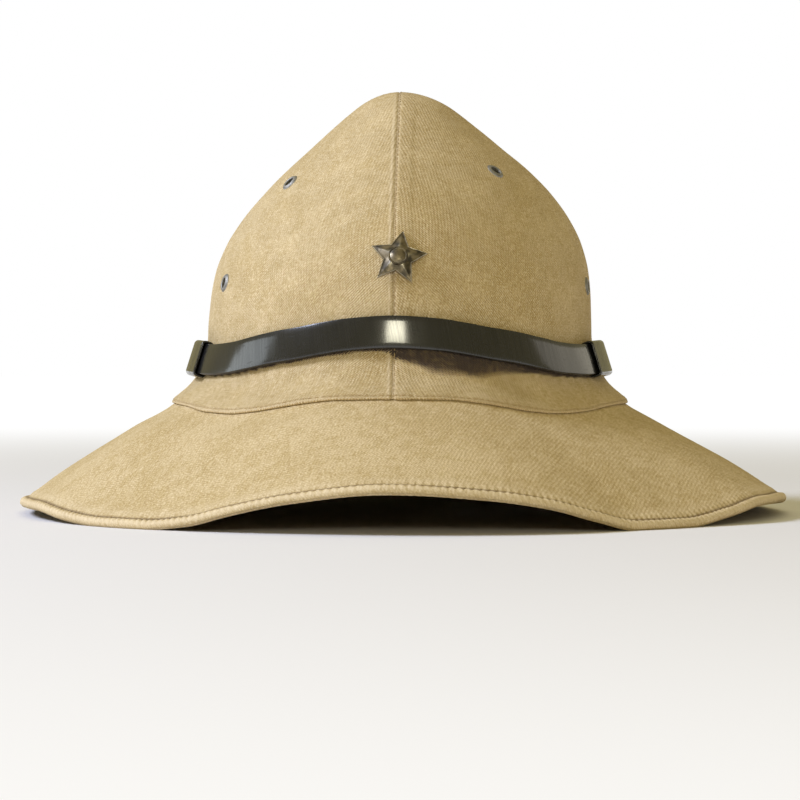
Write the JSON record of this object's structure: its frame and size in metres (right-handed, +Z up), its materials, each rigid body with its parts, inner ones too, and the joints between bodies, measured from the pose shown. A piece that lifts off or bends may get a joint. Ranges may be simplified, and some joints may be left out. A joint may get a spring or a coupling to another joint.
{
  "type": "bush hat",
  "caption": "Wide-brimmed cloth bush hat with a seamed pointed crown, rolled brim edge, leather chin strap held by keepers, vent eyelets and a plain star badge.",
  "frame": {"origin": "middle of the hat's box in plan, on the surface that the brim rests on", "axes": "+Z up; the front, with the badge, faces -Y; +X is on the right in a view from the front"},
  "size_m": [0.3447, 0.3918, 0.1905],
  "materials": {
    "khaki_cloth": "matte cotton twill, tan",
    "underbrim_cloth": "matte cotton twill, browner than the top",
    "olive_band_cloth": "matte olive webbing",
    "black_leather": "glossy black",
    "oxidised_metal": "dark and dull",
    "bronze_badge": "aged bronze with rubbed edges",
    "clasp_metal": "plain"
  },
  "bodies": {
    "root": {"crown_front_right": "khaki_cloth", "crown_back_right": "khaki_cloth", "crown_back_left": "khaki_cloth", "crown_front_left": "khaki_cloth", "brim": "khaki_cloth", "brim_facing_front": "underbrim_cloth", "brim_facing_back": "underbrim_cloth", "sweatband": "olive_band_cloth", "chin_strap": "black_leather", "chin_strap_front": "black_leather", "strap_keeper_left": "black_leather", "strap_keeper_right": "black_leather", "eyelet_left_upper": "oxidised_metal", "eyelet_left_lower": "oxidised_metal", "eyelet_right_upper": "oxidised_metal", "eyelet_right_lower": "oxidised_metal", "star_badge": "bronze_badge", "badge_clasp": "clasp_metal"}
  },
  "joints": []
}
